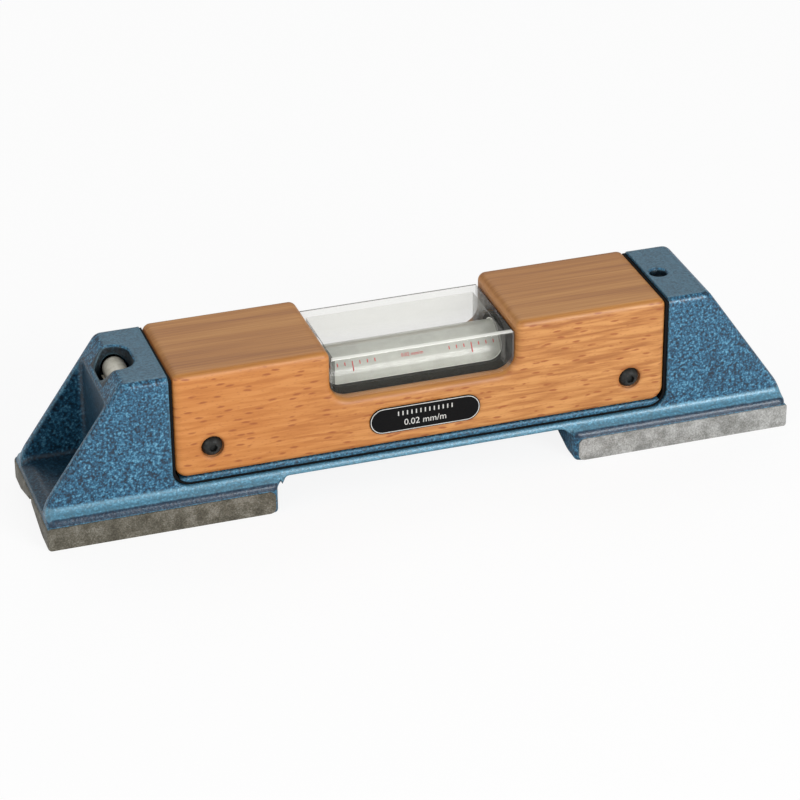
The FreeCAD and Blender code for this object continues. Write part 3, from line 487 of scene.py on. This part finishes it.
def make_finishes():
    """Every finish under its slot. The frame's own materials hold the same names already."""
    return {
        "casting_paint": hammertone_paint(),
        "seal_rubber": seal_rubber(),
        "hood_wood": hood_wood(),
        "cover_clear": cover_clear(),
        "screw_black": plain_metal(
            "screw_black", rgb(14, 15, 14), rgb(38, 40, 38), 0.2, 0.5),
        "plate_black": plain_print(
            "plate_black", rgb(5, 5, 6), rgb(11, 11, 12), 0.45, shine=0.12),
        "block_aluminium": plain_metal(
            "block_aluminium", rgb(170, 172, 174), rgb(200, 202, 203), 0.9, 0.35),
        "pin_steel": plain_metal(
            "pin_steel", rgb(150, 150, 152), rgb(190, 190, 190), 0.95, 0.25),
        "carrier_black": carrier_finish(),
        "vial_glass": glassy(
            "vial_glass", rgb(238, 240, 230), rgb(224, 226, 216), 0.42, 0.3, 0.12),
        "vial_fluid": glassy(
            "vial_fluid", rgb(206, 210, 196), rgb(190, 194, 180), 0.05, 0.45, 0.1),
        "plaster_white": plaster_white(),
        "nut_brass": plain_metal(
            "nut_brass", rgb(176, 138, 66), rgb(206, 170, 96), 0.9, 0.3),
        "mark_red": plain_print(
            "mark_red", rgb(176, 30, 40), rgb(196, 52, 58), 0.5),
        "plate_silver": plain_print(
            "plate_silver", rgb(196, 196, 192), rgb(222, 222, 218), 0.35, 0.3),
    }


def dress_nodes(finishes):
    slots = {part["node"]: part["material_slot"] for part in frame["record"]["subparts"]}
    for name, node in frame["nodes"].items():
        node.data.materials.clear()
        node.data.materials.append(finishes[slots[name]])
    cross = frame["nodes"]["cross_vial_glass"].data.materials
    cross.clear()
    cross.append(cross_vial_milky())


# ---------------------------------------------------------------- pieces
def new_piece(name, mesh):
    mesh.name = name
    piece = bpy.data.objects.new(name, mesh)
    bpy.context.scene.collection.objects.link(piece)
    return piece


def evaluated_mesh(source):
    """Plain mesh of a curve, or of an object with its modifiers."""
    bpy.context.view_layer.update()
    evaluated = source.evaluated_get(bpy.context.evaluated_depsgraph_get())
    return bpy.data.meshes.new_from_object(evaluated)


class Tree:
    """A Geometry Nodes tree with named number inputs."""

    def __init__(self, name, inputs, finish):
        self.tree = bpy.data.node_groups.new(name, "GeometryNodeTree")
        face = self.tree.interface
        face.new_socket("Geometry", in_out="OUTPUT", socket_type="NodeSocketGeometry")
        self.sockets = {}
        for title, value in inputs.items():
            kind = "NodeSocketInt" if isinstance(value, int) else "NodeSocketFloat"
            made = face.new_socket(title, in_out="INPUT", socket_type=kind)
            self.sockets[title] = (made.identifier, value)
        self.source = self.tree.nodes.new("NodeGroupInput")
        self.finish = finish

    def named(self, title):
        return self.source.outputs[title]

    def node(self, kind, sockets):
        made = self.tree.nodes.new(kind)
        for key, value in sockets.items():
            if isinstance(value, bpy.types.NodeSocket):
                self.tree.links.new(value, made.inputs[key])
            else:
                made.inputs[key].default_value = value
        return made.outputs[0]

    def vector(self, x=0.0, y=0.0, z=0.0):
        return self.node("ShaderNodeCombineXYZ", {0: x, 1: y, 2: z})

    def plain_mesh(self, name, geometry):
        """Runs the tree on an empty object and gives its result as a plain piece."""
        real = self.node("GeometryNodeRealizeInstances", {0: geometry})
        dressed = self.node("GeometryNodeSetMaterial", {"Geometry": real, "Material": self.finish})
        output = self.tree.nodes.new("NodeGroupOutput")
        self.tree.links.new(dressed, output.inputs[0])
        source = new_piece(name + "_source", bpy.data.meshes.new(name + "_source"))
        modifier = source.modifiers.new("marks", "NODES")
        modifier.node_group = self.tree
        for identifier, value in self.sockets.values():
            modifier[identifier] = value
        mesh = evaluated_mesh(source)
        source.modifiers.remove(modifier)
        bpy.data.objects.remove(source)
        return new_piece(name, mesh)


def row_of_bars(name, finish, sizes):
    """A row of equal bars: boxes of a width, thickness and height at even steps along X."""
    t = Tree(name + "_tree", sizes, finish)
    box = t.vector(t.named("Width"), t.named("Thickness"), t.named("Height"))
    bar = t.node("GeometryNodeMeshCube", {"Size": box})
    line = t.node("GeometryNodeMeshLine", {
        "Count": t.named("Count"),
        "Start Location": t.vector(t.named("Start"), t.named("Depth"), t.named("Level")),
        "Offset": t.vector(x=t.named("Step")),
    })
    bars = t.node("GeometryNodeInstanceOnPoints", {
        "Points": line, "Instance": bar, "Rotation": t.vector(x=t.named("Tilt")),
    })
    return t.plain_mesh(name, bars)


def on_the_glass(angle):
    """Depth and height on the vial's glass at an angle forward of its top."""
    reach = VIAL_R + 0.02 * MM
    return -reach * math.sin(angle), VIAL_AXIS_Z + reach * math.cos(angle)


def vial_marks(finishes):
    """Red graduations on the vial's glass: two groups of short marks about two long ones."""
    short_starts = (LONG_MARK - SHORT_MARKS * MARK_STEP, LONG_MARK + MARK_STEP)
    rows = [("short", MARK_ANGLE, 0.9, SHORT_MARKS, short_starts),
            ("long", LONG_MARK_ANGLE, 2.6, 1, (LONG_MARK,))]
    for side, side_name in ((-1, "left"), (1, "right")):
        for kind, angle, height, count, starts in rows:
            depth, level = on_the_glass(angle)
            for index, start in enumerate(starts):
                first = start if side > 0 else -start - MARK_STEP * (count - 1)
                sizes = {"Width": 0.24 * MM, "Thickness": INK, "Height": height * MM,
                         "Step": MARK_STEP * MM, "Start": first * MM, "Depth": depth,
                         "Level": level, "Tilt": -(math.pi / 2 - angle), "Count": count}
                label = "vial_marks_%s_%s%d" % (kind, side_name, index)
                piece = row_of_bars(label, finishes["mark_red"], sizes)
                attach(piece, "vial_unit")


def lettering(name, words, height, place, tilt, finish):
    """Thin raised lettering, made a mesh and put in place in its mesh."""
    curve = bpy.data.curves.new(name, "FONT")
    curve.body = words
    curve.size = height
    curve.align_x = "CENTER"
    curve.align_y = "CENTER"
    curve.extrude = 0.03 * MM
    curve.resolution_u = 3
    source = bpy.data.objects.new(name + "_source", curve)
    bpy.context.scene.collection.objects.link(source)
    mesh = evaluated_mesh(source)
    bpy.data.objects.remove(source)
    mesh.transform(Matrix.Translation(place) @ Matrix.Rotation(tilt, 4, "X"))
    mesh.materials.clear()
    mesh.materials.append(finish)
    return new_piece(name, mesh)


def pill_outline(half_length, half_height, count=20):
    """Points round a pill shape, in X and Z about its middle."""
    points = []
    straight = half_length - half_height
    for side in (1, -1):
        for i in range(count + 1):
            turn = math.pi * i / count - math.pi / 2
            points.append((side * (straight + half_height * math.cos(turn)),
                           side * half_height * math.sin(turn)))
    return points


def plate_border(finish):
    """Thin raised line that runs round the plate inside its edge."""
    half_x = (PLATE_HIGH.x - PLATE_LOW.x) / 2
    half_z = (PLATE_HIGH.z - PLATE_LOW.z) / 2
    outer = pill_outline(half_x - 0.18 * MM, half_z - 0.18 * MM)
    inner = pill_outline(half_x - 0.38 * MM, half_z - 0.38 * MM)
    front = PLATE_LOW.y - 0.03 * MM
    rear = PLATE_LOW.y + 0.05 * MM
    count = len(outer)
    points = [(PLATE_X + px, depth, PLATE_Z + pz)
              for ring, depth in ((outer, front), (inner, front), (outer, rear), (inner, rear))
              for px, pz in ring]
    faces = []
    for i in range(count):
        j = (i + 1) % count
        faces += [(i, j, count + j, count + i),
                  (2 * count + i, 3 * count + i, 3 * count + j, 2 * count + j),
                  (i, 2 * count + i, 2 * count + j, j),
                  (count + i, count + j, 3 * count + j, 3 * count + i)]
    mesh = bpy.data.meshes.new("plate_border")
    mesh.from_pydata(points, [], faces)
    mesh.validate()
    work = bmesh.new()
    work.from_mesh(mesh)
    bmesh.ops.recalc_face_normals(work, faces=work.faces)
    work.to_mesh(mesh)
    work.free()
    mesh.materials.append(finish)
    return new_piece("plate_border", mesh)


def dress_plate(finishes):
    """Border, sensitivity in plain numbers and a short scale on the black plate."""
    silver = finishes["plate_silver"]
    face = PLATE_LOW.y - 0.02 * MM
    words = lettering("plate_numbers", "0.02 mm/m", 2.5 * MM,
                      Vector((0, face, PLATE_Z - 1.25 * MM)), math.pi / 2, silver)
    count, step = 13, 1.2 * MM
    sizes = {"Width": 0.3 * MM, "Thickness": INK, "Height": 1.2 * MM, "Step": step,
             "Start": -step * (count - 1) / 2, "Depth": face, "Level": PLATE_Z + 1.55 * MM,
             "Tilt": 0.0, "Count": count}
    scale = row_of_bars("plate_scale", silver, sizes)
    for piece in (words, scale, plate_border(silver)):
        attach(piece, "level_body")


def vial_numbers(finishes):
    depth, level = on_the_glass(MARK_ANGLE)
    piece = lettering("vial_numbers", "0.02 mm/m", 1.3 * MM, Vector((0, depth, level)),
                      MARK_ANGLE, finishes["mark_red"])
    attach(piece, "vial_unit")


# ---------------------------------------------------------------- stage
def make_stage():
    """White surroundings that light the object less than they show, and the floor."""
    world = bpy.data.worlds.new("studio")
    bpy.context.scene.world = world
    world.use_nodes = True
    tree = world.node_tree
    tree.nodes.clear()
    output = tree.nodes.new("ShaderNodeOutputWorld")
    background = tree.nodes.new("ShaderNodeBackground")
    background.inputs["Color"].default_value = (1, 1, 1, 1)
    path = tree.nodes.new("ShaderNodeLightPath")
    seen = tree.nodes.new("ShaderNodeMath")
    seen.operation = "MAXIMUM"
    tree.links.new(path.outputs["Is Camera Ray"], seen.inputs[0])
    tree.links.new(path.outputs["Is Transmission Ray"], seen.inputs[1])
    strength = tree.nodes.new("ShaderNodeMapRange")
    strength.inputs[3].default_value = WORLD_LIGHT
    strength.inputs[4].default_value = 1.0
    tree.links.new(seen.outputs[0], strength.inputs[0])
    tree.links.new(strength.outputs[0], background.inputs["Strength"])
    tree.links.new(background.outputs[0], output.inputs["Surface"])
    make_floor()


def make_floor():
    half = 6.0
    mesh = bpy.data.meshes.new("floor")
    corners = [(-half, -half, 0), (half, -half, 0), (half, half, 0), (-half, half, 0)]
    mesh.from_pydata(corners, [], [(0, 1, 2, 3)])
    floor = new_piece("floor", mesh)
    f = Finish("floor_white")
    shade = f.surface(Base_Color=(0.92, 0.92, 0.92, 1), Roughness=0.9)
    glow = f.node("Emission", sockets={"Color": (1, 1, 1, 1), "Strength": 1.0})
    seen = f.node("LightPath", output="Is Camera Ray")
    share = seen.most(seen.of_output("Is Transmission Ray")) * FLOOR_GLOW
    white = f.node("MixShader", sockets={0: share, 1: shade, 2: glow})
    floor.data.materials.append(f.finished(white))


def lamp(name, size, power, place, target):
    data = bpy.data.lights.new(name, "AREA")
    data.shape = "RECTANGLE"
    data.size, data.size_y = size
    data.energy = power
    made = bpy.data.objects.new(name, data)
    made.location = place
    made.rotation_euler = (Vector(target) - Vector(place)).to_track_quat("-Z", "Y").to_euler()
    bpy.context.scene.collection.objects.link(made)


def make_lamps():
    lamp("key", (0.5, 0.4), 7.0, (0.4, -0.85, 0.38), (0.03, 0, 0.02))
    lamp("fill", (0.8, 0.6), 2.5, (-0.75, -0.45, 0.5), (0, 0, 0.02))
    lamp("back", (0.9, 0.5), 2.2, (0.1, 0.7, 0.8), (0, 0, 0.02))


CAMERA_TARGET = Vector((-2.008, -1.444, 16.374)) * MM
CAMERA_DISTANCE = 0.83004
CAMERA_AZIMUTH = math.radians(-17.996)
CAMERA_ELEVATION = math.radians(28.605)
CAMERA_ROLL = math.radians(-0.463)
CAMERA_SENSOR = 36.0
CAMERA_LENS = 144.27


def make_camera():
    flat = math.cos(CAMERA_ELEVATION)
    back = Vector((math.sin(CAMERA_AZIMUTH) * flat, -math.cos(CAMERA_AZIMUTH) * flat,
                   math.sin(CAMERA_ELEVATION)))
    data = bpy.data.cameras.new("camera")
    data.sensor_width = CAMERA_SENSOR
    data.lens = CAMERA_LENS
    data.clip_start, data.clip_end = 0.05, 20.0
    camera = bpy.data.objects.new("camera", data)
    camera.location = CAMERA_TARGET + back * CAMERA_DISTANCE
    turn = (-back).to_track_quat("-Z", "Y").to_matrix() @ Matrix.Rotation(CAMERA_ROLL, 3, "Z")
    camera.rotation_euler = turn.to_euler()
    bpy.context.scene.collection.objects.link(camera)
    bpy.context.scene.camera = camera


def main():
    bpy.context.scene.view_settings.view_transform = "Standard"
    make_camera()
    make_stage()
    make_lamps()
    finishes = make_finishes()
    dress_nodes(finishes)
    vial_marks(finishes)
    vial_numbers(finishes)
    dress_plate(finishes)


main()
